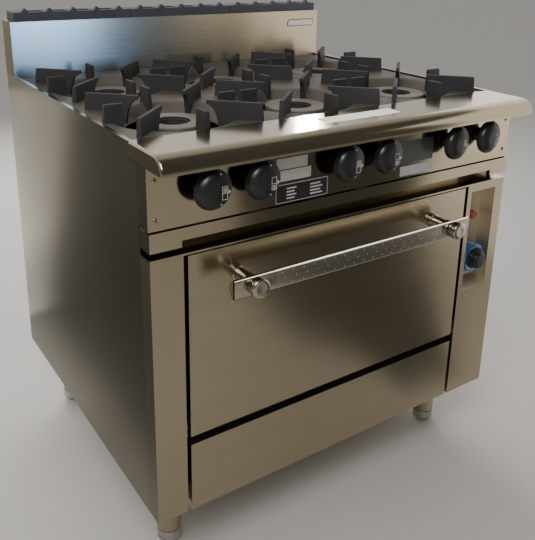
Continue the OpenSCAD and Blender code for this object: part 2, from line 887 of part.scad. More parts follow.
module igniter_button() {
    place() color("firebrick") {
        rod_y(igniter_x, igniter_z, 26, 33, 10);
        rod_y(igniter_x, igniter_z, 24, 26, 8, 10);
        rod_y(igniter_x, igniter_z, 33, 52, 5);
    }
}

// ---------------------------------------------------------------- legs

module leg_tubes() {
    plate = 45;
    bush_z = foot_top + 2;
    place() color(STEEL) for (x = [-leg_x, leg_x], y = [leg_front, leg_rear]) difference() {
        union() {
            rod_z(x, y, bush_z, leg_h - 1, leg_r);
            block(x - plate, x + plate, y - plate, y + plate, leg_h - 2.5, leg_h + sheet);
        }
        rod_z(x, y, bush_z + 14, leg_h - 4, leg_r - 2);
        rod_z(x, y, bush_z - eps, bush_z + 15, 8.1);
    }
}

module levelling_feet() {
    place() color(CAST) for (x = [-leg_x, leg_x], y = [leg_front, leg_rear])
        translate([x, y, 0]) rotate_extrude() polygon([
            [0, 0], [11, 0], [leg_r - 1.4, 10], [leg_r - 0.4, 12], [leg_r - 0.4, foot_top],
            [8, foot_top], [8, 86], [0, 86]
        ]);
}

left_side_panel();
right_side_panel();
rear_panel();
base_pan();
left_front_post();
control_column();
column_recess();
oven_top_rail();
kick_panel();
control_panel();
front_ledge();
splashback_panel();
flue_box();
flue_caps();
oven_liner();
oven_insulation();
oven_sole_plate();
rack_guides();
oven_burner();
gas_manifold();
burner_valves();
thermostat_valve();
burner_heads();
burner_tubes();
panel_screws();
leg_tubes();
hinge_brackets();
thermostat_bezel();
hob_rails();
burner_knob(1);  // burner_knob_1
burner_knob(2);  // burner_knob_2
burner_knob(3);  // burner_knob_3
burner_knob(4);  // burner_knob_4
burner_knob(5);  // burner_knob_5
burner_knob(6);  // burner_knob_6
valve_spindle(1);  // valve_spindle_1
valve_spindle(2);  // valve_spindle_2
valve_spindle(3);  // valve_spindle_3
valve_spindle(4);  // valve_spindle_4
valve_spindle(5);  // valve_spindle_5
valve_spindle(6);  // valve_spindle_6
thermostat_knob();
thermostat_spindle();
igniter_button();
door_outer_skin();
door_inner_pan();
door_insulation();
door_seal();
handle_bar();
handle_caps();
handle_studs();
hinge_arms();
oven_rack_upper();
oven_rack_lower();
hob_casting_left();
hob_casting_centre();
hob_casting_right();
spill_tray_left();
spill_tray_right();
levelling_feet();
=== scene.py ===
"""Looks of the commercial gas range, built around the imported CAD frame.

The frame is in metres. Outlines and small sizes are written in millimetres, and MM, mm() or at() turns them
into metres. Pieces take their places from the boxes of the CAD nodes.
"""

import json
import math

import bmesh
import bpy
from mathutils import Euler, Matrix, Vector, noise

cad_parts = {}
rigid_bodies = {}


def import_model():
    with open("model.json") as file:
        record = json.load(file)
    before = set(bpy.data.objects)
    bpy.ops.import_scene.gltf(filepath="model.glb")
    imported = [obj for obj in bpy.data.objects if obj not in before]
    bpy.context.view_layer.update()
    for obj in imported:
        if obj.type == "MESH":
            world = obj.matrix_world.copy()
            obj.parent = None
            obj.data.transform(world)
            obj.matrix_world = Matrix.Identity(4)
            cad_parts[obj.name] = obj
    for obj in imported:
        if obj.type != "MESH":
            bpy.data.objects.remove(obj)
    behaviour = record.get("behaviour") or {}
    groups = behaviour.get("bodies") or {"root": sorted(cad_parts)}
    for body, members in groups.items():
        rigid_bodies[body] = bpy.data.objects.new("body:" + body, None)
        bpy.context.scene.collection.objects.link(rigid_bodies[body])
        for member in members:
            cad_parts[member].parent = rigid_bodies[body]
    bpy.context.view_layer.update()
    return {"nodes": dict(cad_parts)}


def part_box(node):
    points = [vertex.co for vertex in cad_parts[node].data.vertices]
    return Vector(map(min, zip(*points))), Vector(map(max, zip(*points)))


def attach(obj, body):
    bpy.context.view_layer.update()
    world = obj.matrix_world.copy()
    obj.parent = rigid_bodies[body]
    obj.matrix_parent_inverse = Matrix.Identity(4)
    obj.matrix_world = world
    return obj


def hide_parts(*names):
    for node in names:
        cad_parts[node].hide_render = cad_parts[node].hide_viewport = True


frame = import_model()

MM = 0.001
TAU = 2 * math.pi
WELD = 1e-6                               # vertices closer than this become one
FACE_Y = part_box("door_outer_skin")[0].y   # the plane of the oven door's face
KNOBS = range(1, 7)


def at(x, y, z):
    """A point given in millimetres, with y measured from the door's face."""
    return Vector((x * MM, FACE_Y + y * MM, z * MM))


def mm(outline):
    """Pairs of millimetres as pairs of metres."""
    return [(a * MM, b * MM) for a, b in outline]


def from_door(y):
    """How far a plane lies behind the door's face, in millimetres."""
    return (y - FACE_Y) / MM


def centre(node):
    lo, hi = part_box(node)
    return (lo + hi) / 2


def round_part(node):
    """The middle of the back of a round part, with its radius and depth in millimetres."""
    lo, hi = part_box(node)
    back = Vector(((lo.x + hi.x) / 2, hi.y, (lo.z + hi.z) / 2))
    return back, (hi.z - lo.z) / 2 / MM, (hi.y - lo.y) / MM


# ---------------------------------------------------------------- materials

SWING = (0.3, 0.7)   # the range that most of a noise lies in


def fill_ramp(ramp, stops, curve, tint=(1, 1, 1)):
    """Sets a colour ramp to (position, grey) stops, each grey coloured by tint."""
    ramp.interpolation = curve
    while len(ramp.elements) < len(stops):
        ramp.elements.new(0.5)
    for element, (position, grey) in zip(ramp.elements, stops):
        element.position = position
        element.color = (*(grey * part for part in tint), 1)


class Shader:
    """A node material round one Principled shader. A value may be a number, a colour or a socket."""

    SOCKETS = {"base": "Base Color", "coat": "Coat Weight", "coat_rough": "Coat Roughness",
               "specular": "Specular IOR Level", "sheen": "Sheen Weight"}

    def __init__(self, name, **inputs):
        self.material = bpy.data.materials.new(name)
        self.material.use_nodes = True
        self.tree = self.material.node_tree
        self.bsdf = self.tree.nodes["Principled BSDF"]
        self.set(**inputs)

    def wire(self, node, socket, value):
        if isinstance(value, bpy.types.NodeSocket):
            self.tree.links.new(value, node.inputs[socket])
        else:
            node.inputs[socket].default_value = value

    def set(self, **inputs):
        for key, value in inputs.items():
            if key == "base" and not isinstance(value, bpy.types.NodeSocket):
                value = (*value, 1)
            self.wire(self.bsdf, self.SOCKETS.get(key, key.capitalize()), value)

    def node(self, kind, inputs=(), **settings):
        node = self.tree.nodes.new("ShaderNode" + kind)
        for key, value in settings.items():
            setattr(node, key, value)
        for socket, value in dict(inputs).items():
            self.wire(node, socket, value)
        return node

    def position(self):
        return self.node("TexCoord").outputs["Object"]

    def noise(self, scale, size=(1, 1, 1), detail=3, roughness=0.5):
        mapping = self.node("Mapping", {"Vector": self.position(), "Scale": size})
        inputs = {"Vector": mapping.outputs["Vector"], "Scale": scale, "Detail": detail,
                  "Roughness": roughness}
        return self.node("TexNoise", inputs).outputs["Fac"]

    def remap(self, value, source, target):
        """Maps value from the source range to the target range, and keeps it inside."""
        inputs = {"Value": value, "From Min": source[0], "From Max": source[1],
                  "To Min": target[0], "To Max": target[1]}
        return self.node("MapRange", inputs).outputs["Result"]

    def math(self, operation, a, b):
        return self.node("Math", {0: a, 1: b}, operation=operation).outputs[0]

    def vector(self, operation, a, b):
        return self.node("VectorMath", {0: a, 1: b}, operation=operation).outputs[0]

    def scaled(self, colour, factor):
        return self.node("VectorMath", {0: colour, "Scale": factor}, operation="SCALE").outputs[0]

    def mix(self, factor, a, b):
        inputs = {0: factor, 6: (*a, 1), 7: (*b, 1)}
        return self.node("Mix", inputs, data_type="RGBA").outputs[2]

    def ramp(self, value, stops):
        """A smooth curve through (position, grey) stops, with value from 0 to 1."""
        node = self.node("ValToRGB", {"Fac": value})
        fill_ramp(node.color_ramp, stops, "B_SPLINE" if len(stops) > 3 else "EASE")
        return node.outputs["Color"]

    def bump(self, height, strength, distance):
        inputs = {"Height": height, "Strength": strength, "Distance": distance}
        self.set(normal=self.node("Bump", inputs).outputs["Normal"])


STEEL = (0.40, 0.343, 0.238)
NUDGE = (0.003, 0.004, 0.005)   # keeps the tangent of a face that looks along the grain from vanishing


def along(grain, length, width):
    """A value for each axis: length for the grain's axis and width for the other two."""
    return tuple(length if axis == grain else width for axis in "xyz")


def steel(name, grain, base=STEEL, rough=0.24, smear=0.5):
    """Brushed stainless steel, its hairlines running along the grain axis and its reflections across it."""
    s = Shader(name, metallic=1.0)
    wide = (0.2, 0.8)
    lines = s.noise(1.0, along(grain, 4, 520), detail=4, roughness=0.7)
    bands = s.noise(1.0, along(grain, 1.2, 34), detail=2)
    clouds = s.noise(2.2, detail=3)
    touch = s.noise(5, detail=2)
    level = s.math("MULTIPLY", s.remap(lines, wide, (0.965, 1.035)), s.remap(bands, SWING, (0.975, 1.025)))
    level = s.math("MULTIPLY", level, s.remap(clouds, SWING, (0.94, 1.06)))
    matt = s.remap(lines, wide, (rough - 0.03, rough + 0.04))
    normal = s.node("NewGeometry").outputs["Normal"]
    across = s.vector("ADD", s.vector("CROSS_PRODUCT", normal, along(grain, 1, 0)), NUDGE)
    s.set(base=s.scaled(base, level), anisotropic=smear, tangent=across,
          roughness=s.math("ADD", matt, s.remap(touch, (0.5, 0.7), (0, 0.02))))
    s.bump(lines, 0.045, 0.00015)
    return s.material


def polished(name, base=(0.46, 0.41, 0.33), rough=0.12):
    """Bright steel with a few smears."""
    s = Shader(name, metallic=1.0)
    fine = s.noise(260, detail=5, roughness=0.7)
    smear = s.noise(34, detail=3)
    matt = s.remap(fine, SWING, (rough, rough + 0.08))
    s.set(base=s.scaled(base, s.remap(smear, SWING, (0.88, 1.08))),
          roughness=s.math("ADD", matt, s.remap(smear, (0.4, 0.7), (0, 0.07))))
    s.bump(fine, 0.05, 0.0001)
    return s.material


def cast_iron(name, base, stain, rough, metallic, grain):
    """Sand-cast iron: fine pits, soft stains and a little sheen."""
    s = Shader(name, metallic=metallic)
    pits = s.noise(520, detail=6, roughness=0.7)
    patches = s.noise(11, detail=5, roughness=0.6)
    drift = s.noise(3.5, detail=2)
    colour = s.mix(s.remap(patches, (0.42, 0.66), (0, 0.8)), base, stain)
    level = s.math("MULTIPLY", s.remap(pits, SWING, (0.84, 1.14)), s.remap(drift, SWING, (0.9, 1.1)))
    s.set(base=s.scaled(colour, level), roughness=s.remap(pits, SWING, (rough - 0.06, rough + 0.1)))
    s.bump(pits, grain, 0.0006)
    return s.material


def plastic(name, base, rough, coat=0.0):
    """Moulded plastic with some pale dust."""
    s = Shader(name, metallic=0.0, coat=coat, coat_rough=0.1)
    fine = s.noise(900, detail=3)
    dust = s.remap(s.noise(48, detail=6, roughness=0.7), (0.55, 0.75), (0, 1))
    pale = tuple(min(1.0, part * 1.6 + 0.02) for part in base)
    matt = s.remap(fine, SWING, (rough - 0.04, rough + 0.05))
    s.set(base=s.mix(s.math("MULTIPLY", dust, 0.35), base, pale),
          roughness=s.math("ADD", matt, s.math("MULTIPLY", dust, 0.12)))
    s.bump(fine, 0.08, 0.0002)
    return s.material


def machined(name, base, rough=0.25):
    """Turned metal with patches of tarnish."""
    s = Shader(name, metallic=1.0)
    turn = s.noise(1.0, along("y", 30, 700), detail=3)
    tarnish = s.noise(40, detail=5)
    dark = tuple(part * 0.55 for part in base)
    s.set(base=s.mix(s.remap(tarnish, (0.45, 0.7), (0, 0.7)), base, dark),
          roughness=s.remap(turn, SWING, (rough, rough + 0.15)))
    s.bump(turn, 0.1, 0.0002)
    return s.material


def wool(name, base):
    """Matted fibres."""
    s = Shader(name, metallic=0.0, sheen=0.4)
    fibres = s.noise(1.0, along("y", 40, 300), detail=6, roughness=0.8)
    tufts = s.noise(60, detail=4)
    s.set(base=s.scaled(base, s.remap(fibres, SWING, (0.7, 1.15))),
          roughness=s.remap(tufts, SWING, (0.85, 1.0)))
    s.bump(fibres, 0.8, 0.003)
    return s.material


def label_stock(name, base, rough=0.45, worn=0.15):
    """Printed film or paper. worn is how much soil it carries."""
    s = Shader(name, metallic=0.0)
    soil = s.noise(60, detail=6, roughness=0.7)
    fibre = s.noise(900, detail=3)
    dark = tuple(part * 0.72 for part in base)
    s.set(base=s.mix(s.remap(soil, (0.48, 0.72), (0, worn * 3)), base, dark),
          roughness=s.remap(fibre, SWING, (rough - 0.06, rough + 0.08)))
    s.bump(soil, 0.15, 0.0004)
    return s.material


SIDE = steel("steel_side", "y", rough=0.18)
DOOR = steel("steel_door", "x", rough=0.22)
KICK = steel("steel_kick", "x")
POST = steel("steel_post", "z")
COLUMN = steel("steel_column", "z")
PANEL = steel("steel_panel", "x", rough=0.13)
FASCIA = steel("steel_fascia", "x", rough=0.15)
LEDGE = steel("steel_ledge", "x", rough=0.15)
SPLASH = steel("steel_splash", "x", rough=0.27, smear=0.9)
INNER = steel("steel_inner", "z", rough=0.38)
RECESS = steel("steel_recess", "z", (0.55, 0.49, 0.38), 0.45)
BRIGHT = polished("steel_polished")
WIRE = polished("steel_wire", (0.6, 0.6, 0.59), 0.16)
PLATE_IRON = cast_iron("iron_plate", (0.172, 0.15, 0.122), (0.125, 0.104, 0.077), 0.48, 0.45, 0.2)
RING_IRON = cast_iron("iron_ring", (0.25, 0.225, 0.19), (0.19, 0.165, 0.13), 0.55, 0.3, 0.25)
# The pan supports are cast in one piece with the plate: their iron is the plate's iron painted much darker,
# as painted shade.
FIN_IRON_PAINTED_SHADE = cast_iron("iron_fin", (0.053, 0.052, 0.053), (0.042, 0.041, 0.043), 0.58, 0.2, 0.3)
CAP_IRON = cast_iron("iron_cap", (0.088, 0.096, 0.11), (0.07, 0.075, 0.085), 0.55, 0.25, 0.35)
DARK_IRON = cast_iron("iron_dark", (0.045, 0.043, 0.042), (0.06, 0.04, 0.03), 0.6, 0.3, 0.35)
KNOB = plastic("knob_black", (0.012, 0.012, 0.0125), 0.36)
MARK = label_stock("mark_white", (0.75, 0.75, 0.73), 0.5, 0.05)
BLUE = plastic("film_blue", (0.02, 0.13, 0.32), 0.25, coat=0.5)
RED = plastic("button_red", (0.42, 0.03, 0.03), 0.3, coat=0.4)
BRASS = machined("brass", (0.50, 0.36, 0.14))
STEM = machined("stem_steel", (0.5, 0.48, 0.45), 0.3)
WOOL = wool("mineral_wool", (0.42, 0.36, 0.2))
SEAL = wool("door_seal", (0.03, 0.03, 0.03))
PAPER = label_stock("label_white", (0.62, 0.61, 0.58))
GREY_LABEL = label_stock("label_grey", (0.7, 0.69, 0.65))
BLACK_LABEL = label_stock("label_black", (0.02, 0.02, 0.02), 0.35)
DULL_LABEL = label_stock("label_dull", (0.075, 0.08, 0.065), 0.3)
TAPE = label_stock("tape_white", (0.88, 0.82, 0.68), 0.65, 0.08)
BADGE = polished("badge_silver", (0.5, 0.46, 0.42), 0.22)
BADGE_RIM = plastic("badge_rim", (0.18, 0.05, 0.04), 0.35)
FILM = steel("handle_film", "x", (0.5, 0.45, 0.36), 0.24)


# ---------------------------------------------------------------- mesh tools

def piece(name, bm, materials, body, replaces=(), smooth=35, bevel=0.0, segments=2, solid=0.0, recalc=True):
    """Turns bm into an object that rides on body. A sheet gets the thickness solid, with crisp rims."""
    if not isinstance(materials, list):
        materials = [materials]
    if recalc:
        bmesh.ops.recalc_face_normals(bm, faces=bm.faces)
    mesh = bpy.data.meshes.new(name)
    bm.to_mesh(mesh)
    bm.free()
    for polygon in mesh.polygons:
        polygon.use_smooth = True
    mesh.set_sharp_from_angle(angle=math.radians(smooth))
    if solid:
        sides = [0] * len(mesh.edges)
        for loop in mesh.loops:
            sides[loop.edge_index] += 1
        for edge in mesh.edges:
            edge.use_edge_sharp = edge.use_edge_sharp or sides[edge.index] == 1
    for material in materials:
        mesh.materials.append(material)
    obj = bpy.data.objects.new(name, mesh)
    bpy.context.scene.collection.objects.link(obj)
    if solid:
        shell = obj.modifiers.new("thickness", "SOLIDIFY")
        shell.thickness = solid
        shell.offset = -1
    if bevel:
        add_bevel(obj, bevel, segments)
    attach(obj, body)
    if replaces:
        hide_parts(*replaces)
    return obj


def add_bevel(obj, width, segments):
    edge = obj.modifiers.new("edges", "BEVEL")
    edge.width = width
    edge.segments = segments
    edge.limit_method = "ANGLE"
    edge.angle_limit = math.radians(40)
    edge.harden_normals = True


def bevel_edges(bm, edges, width, segments):
    bmesh.ops.bevel(bm, geom=list(edges), offset=width, segments=segments, affect="EDGES", profile=0.5,
                    clamp_overlap=True)


def paint(faces, index):
    for face in faces:
        face.material_index = index


def add_box(bm, lo, hi, index):
    """A box between two corners."""
    corners = [bm.verts.new((x, y, z)) for x in (lo[0], hi[0]) for y in (lo[1], hi[1])
               for z in (lo[2], hi[2])]
    sides = ((0, 1, 3, 2), (4, 6, 7, 5), (0, 4, 5, 1), (2, 3, 7, 6), (0, 2, 6, 4), (1, 5, 7, 3))
    paint([bm.faces.new([corners[i] for i in side]) for side in sides], index)


def add_prism(bm, outline, start, end, place, index=0):
    """Extrudes a closed (u, v) outline from depth start to end. place turns (u, v, depth) into a point."""
    rings = [[bm.verts.new(place(u, v, depth)) for u, v in outline] for depth in (start, end)]
    count = len(outline)
    faces = [bm.faces.new(rings[0]), bm.faces.new(rings[1][::-1])]
    for i in range(count):
        j = (i + 1) % count
        faces.append(bm.faces.new((rings[0][i], rings[0][j], rings[1][j], rings[1][i])))
    paint(faces, index)


def add_lathe(bm, outline, origin, axis, steps, index=0, wobble=None):
    """Turns (radius, distance along the axis) points round the y or z axis through origin, as faces.

    An outline that ends on the axis is closed there. wobble(point, step) is added to a radius.
    """
    turns = {"y": lambda r, h, c, s: (r * c, h, r * s), "z": lambda r, h, c, s: (r * c, r * s, h)}[axis]
    rings = []
    for number, (r, h) in enumerate(outline):
        if r < WELD:
            rings.append([bm.verts.new(Vector(turns(0, h, 1, 0)) + origin)])
            continue
        ring = []
        for k in range(steps):
            a = TAU * k / steps
            radius = r + (wobble(number, k) if wobble else 0.0)
            ring.append(bm.verts.new(Vector(turns(radius, h, math.cos(a), math.sin(a))) + origin))
        rings.append(ring)
    faces = []
    for a, b in zip(rings, rings[1:]):
        for k in range(steps):
            n = (k + 1) % steps
            corners = [a[k % len(a)], a[n % len(a)], b[n % len(b)], b[k % len(b)]]
            unique = list(dict.fromkeys(corners))
            if len(unique) > 2:
                faces.append(bm.faces.new(unique))
    paint(faces, index)
    return faces


def arc(cx, cy, rx, ry, start, end, count):
    """count + 1 points on an ellipse, with its angles in degrees."""
    angles = [math.radians(start + (end - start) * k / count) for k in range(count + 1)]
    return [(cx + rx * math.cos(a), cy + ry * math.sin(a)) for a in angles]


def rounded(x0, x1, z0, z1, radius, count):
    """The outline of a rectangle with round corners of count facets."""
    corners = ((x1 - radius, z1 - radius), (x0 + radius, z1 - radius),
               (x0 + radius, z0 + radius), (x1 - radius, z0 + radius))
    return [point for k, (x, z) in enumerate(corners)
            for point in arc(x, z, radius, radius, 90 * k, 90 * (k + 1), count)]


def merge(bm, part, matrix):
    """Moves the geometry of part into bm."""
    lookup = {v: bm.verts.new(matrix @ v.co) for v in part.verts}
    for face in part.faces:
        copy = bm.faces.new([lookup[v] for v in face.verts])
        copy.material_index = face.material_index
    part.free()


# ---------------------------------------------------------------- CAD nodes that stay

KEPT = {   # material, and the width of the rounded edges in millimetres
    "left_side_panel": (SIDE, 1.5), "right_side_panel": (SIDE, 0.6), "rear_panel": (INNER, 0.4),
    "base_pan": (INNER, 0.5), "oven_top_rail": (FASCIA, 1.0), "kick_panel": (KICK, 0.7),
    "left_front_post": (POST, 1.4), "control_column": (COLUMN, 1.2), "column_recess": (RECESS, 0.4),
    "control_panel": (PANEL, 0.6), "splashback_panel": (SPLASH, 0.7), "flue_box": (INNER, 0.5),
    "flue_caps": (CAP_IRON, 1.2), "oven_liner": (INNER, 0.5), "oven_insulation": (WOOL, 3.0),
    "oven_sole_plate": (DARK_IRON, 0.8), "rack_guides": (WIRE, 0.0), "oven_burner": (DARK_IRON, 0.0),
    "gas_manifold": (BRASS, 0.5), "burner_valves": (BRASS, 0.6), "thermostat_valve": (BRASS, 0.6),
    "burner_tubes": (DARK_IRON, 0.5), "leg_tubes": (POST, 0.5), "hinge_brackets": (INNER, 0.5),
    "hob_rails": (INNER, 0.5), "thermostat_spindle": (STEM, 0.4), "door_inner_pan": (INNER, 0.5),
    "door_insulation": (WOOL, 2.0), "door_seal": (SEAL, 2.5), "hinge_arms": (INNER, 0.5),
    "oven_rack_upper": (WIRE, 0.0), "oven_rack_lower": (WIRE, 0.0), "spill_tray_left": (FASCIA, 0.5),
    "spill_tray_right": (FASCIA, 0.5), "levelling_feet": (STEM, 0.8), "door_outer_skin": (DOOR, 0.7),
}
for i in KNOBS:
    KEPT[f"valve_spindle_{i}"] = (STEM, 0.4)
for name, (material, width) in KEPT.items():
    node = frame["nodes"][name]
    node.data.materials.clear()
    node.data.materials.append(material)
    if width:
        add_bevel(node, width * MM, 3)


# ---------------------------------------------------------------- front ledge

def build_ledge():
    """The folded front ledge with a round nose and welded end plates, open underneath behind a lip."""
    lo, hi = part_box("front_ledge")
    nose = hi.z - lo.z
    lip = lo.y + 12 * MM
    fold = 5 * MM
    outline = [(lip, lo.z), (hi.y, lo.z), (hi.y, hi.z)] + arc(lo.y + nose, lo.z, nose, nose, 90, 180, 20)
    bm = bmesh.new()
    add_prism(bm, outline, lo.x, hi.x, lambda y, z, x: (x, y, z))
    bmesh.ops.recalc_face_normals(bm, faces=bm.faces)
    rims = [e for e in bm.edges if any(abs(f.normal.x) > 0.9 for f in e.link_faces)
            and max(v.co.z for v in e.verts) > lo.z + 10 * WELD]
    bevel_edges(bm, rims, fold, 5)
    bm.normal_update()
    underside = [f for f in bm.faces if f.normal.z < -0.9 and f.calc_center_median().y > lip]
    bmesh.ops.delete(bm, geom=underside, context="FACES")
    for face in bm.faces:
        face.material_index = 1 if abs(face.normal.x) > 0.999 else 0
    ledge = piece("front_ledge_bullnose", bm, [LEDGE, SIDE], "root", ["front_ledge"], smooth=30,
                  solid=1.4 * MM, recalc=False)
    ledge.modifiers.new("flat_ends", "WEIGHTED_NORMAL").keep_sharp = True


build_ledge()


# ---------------------------------------------------------------- hob

section_lo, section_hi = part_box("hob_casting_centre")
FIN_TOP = section_hi.z
PLATE_Z = FIN_TOP - 34 * MM
PITCH = centre("hob_casting_right").x - centre("hob_casting_centre").x
ROWS = (section_lo.y + 145 * MM, section_hi.y - 200 * MM)   # the front and the rear burners
WELL_R, WELL_DEPTH = 134 * MM, 26 * MM
HOLE_R, HOLE_RIM = 90 * MM, 3 * MM
LIP_R = 24 * MM                            # the round edge where the plate turns down into a well
SINK = 1.5 * MM                            # how deep the pan supports reach into the plate
FIN_HALF, FIN_TAPER = 5.0 * MM, 1.1 * MM   # a support's half thickness, and its loss up to the top


def well_profile():
    """The well's face as (radius, height) points, from the plate down to the hole."""
    angle = math.degrees(math.atan2(WELL_DEPTH - LIP_R * 0.12, WELL_R - HOLE_R - LIP_R * 0.5))
    lip = arc(WELL_R, PLATE_Z - LIP_R, LIP_R, LIP_R, 90, 90 + angle, 10)
    floor = PLATE_Z - WELL_DEPTH
    return lip + [(HOLE_R + HOLE_RIM, floor + 2.6 * MM), (HOLE_R, floor)]


WELL = well_profile()


def face_height(r):
    """The height of the casting's face at a distance from a burner's axis."""
    if r >= WELL_R:
        return PLATE_Z
    for (r0, z0), (r1, z1) in zip(WELL, WELL[1:]):
        if r1 <= r <= r0:
            return z0 + (z1 - z0) * (r0 - r) / (r0 - r1)
    return WELL[-1][1]


def to_rectangle(cx, cy, angle, lo, hi):
    """Where a ray from the centre meets the rectangle."""
    dx, dy = math.cos(angle), math.sin(angle)
    reach_x = ((hi[0] if dx > 0 else lo[0]) - cx) / dx if dx else math.inf
    reach_y = ((hi[1] if dy > 0 else lo[1]) - cy) / dy if dy else math.inf
    reach = min(reach_x, reach_y)
    return cx + dx * reach, cy + dy * reach


def add_well_plate(bm, cx, cy, lo, hi):
    """A rectangle of the hob plate with a round well in it. Four of its spokes run to the corners."""
    spokes = 112
    angles = [TAU * k / spokes for k in range(spokes)]
    for x in (lo[0], hi[0]):
        for y in (lo[1], hi[1]):
            corner = math.atan2(y - cy, x - cx) % TAU
            nearest = min(range(spokes), key=lambda k: abs(angles[k] - corner))
            angles[nearest] = corner
    rings = [[bm.verts.new((cx + r * math.cos(a), cy + r * math.sin(a), z)) for a in angles]
             for r, z in WELL[::-1]]
    rings.append([bm.verts.new((*to_rectangle(cx, cy, a, lo, hi), PLATE_Z)) for a in angles])
    for inner, outer in zip(rings, rings[1:]):
        for k in range(spokes):
            n = (k + 1) % spokes
            bm.faces.new((inner[k], inner[n], outer[n], outer[k]))


def fin_outlines():
    """The long and the short pan support as (radius, height) outlines that follow the casting's face."""
    step = 8 * MM
    inner, outer, foot = 68 * MM, 180 * MM, HOLE_R + HOLE_RIM
    foot_z = face_height(foot) - SINK
    long_fin = [(inner, FIN_TOP - step), (inner, FIN_TOP), (outer - 3 * MM, FIN_TOP), (outer, PLATE_Z - SINK),
                (WELL_R, PLATE_Z - SINK)]
    r = WELL_R - step
    while r > foot + 2 * MM:
        long_fin.append((r, face_height(r) - SINK))
        r -= step
    long_fin += arc(inner, foot_z, foot - inner, FIN_TOP - step - foot_z, 0, 84, 12)
    near, far = 101 * MM, 141 * MM
    short_fin = [(near + 1 * MM, FIN_TOP), (far - 1.5 * MM, FIN_TOP)]
    short_fin += [(far - k * 5 * MM, face_height(far - k * 5 * MM) - SINK) for k in range(7)]
    short_fin.append((near, face_height(near) - SINK))
    return long_fin, short_fin


def add_fin(bm, outline, cx, cy, angle):
    """A cast pan support standing on the plate, thinner at its top."""
    def place(r, z, side):
        height = (z - PLATE_Z) / (FIN_TOP - PLATE_Z)
        half = (FIN_HALF - FIN_TAPER * max(0.0, min(1.0, height))) * side
        return (cx + r * math.cos(angle) - half * math.sin(angle),
                cy + r * math.sin(angle) + half * math.cos(angle), z)
    add_prism(bm, outline, -1, 1, place)


def build_casting(side):
    """One hob section: a plate with two wells, and eight pan supports round each of them."""
    node = f"hob_casting_{side}"
    lo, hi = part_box(node)
    cx = (lo.x + hi.x) / 2
    middle = sum(ROWS) / 2
    bm = bmesh.new()
    add_well_plate(bm, cx, ROWS[0], (lo.x, lo.y), (hi.x, middle))
    add_well_plate(bm, cx, ROWS[1], (lo.x, middle), (hi.x, hi.y))
    bmesh.ops.remove_doubles(bm, verts=bm.verts, dist=10 * WELD)
    piece(f"hob_plate_{side}", bm, PLATE_IRON, f"casting_{side}", [node], bevel=1.5 * MM, solid=6 * MM)
    long_fin, short_fin = fin_outlines()
    bm = bmesh.new()
    for cy in ROWS:
        for k in range(4):
            add_fin(bm, long_fin, cx, cy, math.radians(45 + 90 * k))
            add_fin(bm, short_fin, cx, cy, math.radians(90 * k))
    # The supports' dark iron is painted shade on the plate's own iron.
    piece(f"pan_supports_{side}", bm, FIN_IRON_PAINTED_SHADE, f"casting_{side}", bevel=1.1 * MM, segments=3)


for side in ("left", "centre", "right"):
    build_casting(side)


def build_burner_heads():
    """Six stepped rings: a skirt, a band of flame ports, a flat top and a bore. The bore and the skirt carry
    painted shade.
    """
    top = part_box("burner_heads")[1].z
    ports, port_depth = 48, 2.2 * MM
    bore_r, skirt_z = 34.2 * MM, top - 12 * MM
    outline = [(26, -22), (36, -26), (54, -26), (54, -18), (62, -14.5), (64.5, -12), (66, -9.5), (66, -8.5),
               (66, -8), (66, -5), (66, -4.4), (66, -1.6), (65.4, -0.6), (64.4, 0), (35.5, 0), (34.4, -0.5),
               (34, -1.5), (34, -4), (30.6, -4.2), (30, -5), (30, -9.5), (26.6, -10), (26, -11), (26, -22)]
    band = (outline.index((66, -8)), outline.index((66, -5)))

    def ported(number, k):
        return -port_depth if number in band and k % 3 == 0 else 0.0

    bm = bmesh.new()
    for cx in (-PITCH, 0, PITCH):
        for cy in ROWS:
            points = [(r * MM, top + h * MM) for r, h in outline]
            for face in add_lathe(bm, points, Vector((cx, cy, 0)), "z", ports * 3, wobble=ported):
                # The bore's walls and the skirt under the ports take the dark iron: painted shade in the
                # hollow and under the ring.
                mid = face.calc_center_median()
                inside = math.hypot(mid.x - cx, mid.y - cy) < bore_r
                face.material_index = 1 if inside or mid.z < skirt_z else 0
    bmesh.ops.remove_doubles(bm, verts=bm.verts, dist=WELD)
    piece("burner_rings", bm, [RING_IRON, DARK_IRON], "root", ["burner_heads"], smooth=30)


build_burner_heads()


# ---------------------------------------------------------------- knobs

MARK_RISE = 0.25                                  # how far a printed mark stands off its face, in millimetres
DISC_HEIGHT, NECK_R, GRIP_HEIGHT = 5.5, 16, 13    # of a burner knob, in millimetres
RIM = 1.8                                         # from a grip's foot to the edge of the disc
DIAL_HEIGHT = 6                                   # the thermostat knob's skirt


def add_mark_box(bm, origin, x0, x1, z0, z1):
    add_box(bm, origin + Vector((x0, -MARK_RISE, z0)) * MM, origin + Vector((x1, 0, z1)) * MM, 1)


def add_frame_mark(bm, origin, x0, x1, z0, z1):
    line = 1.0
    add_mark_box(bm, origin, x0, x1, z0, z0 + line)
    add_mark_box(bm, origin, x0, x1, z1 - line, z1)
    add_mark_box(bm, origin, x0, x0 + line, z0 + line, z1 - line)
    add_mark_box(bm, origin, x1 - line, x1, z0 + line, z1 - line)


def add_disc_mark(bm, origin, x, z, r, inner=0):
    """A round mark, or a ring when inner is given."""
    outline = [(inner, -MARK_RISE), (r, -MARK_RISE), (r, 0)]
    if inner:
        outline.insert(0, (inner, 0))
    add_lathe(bm, mm(outline), origin + Vector((x, 0, z)) * MM, "y", 20, 1)


def add_triangle_mark(bm, origin, points):
    add_prism(bm, points, 0, -MARK_RISE, lambda u, v, d: origin + Vector((u, d, v)) * MM, 1)


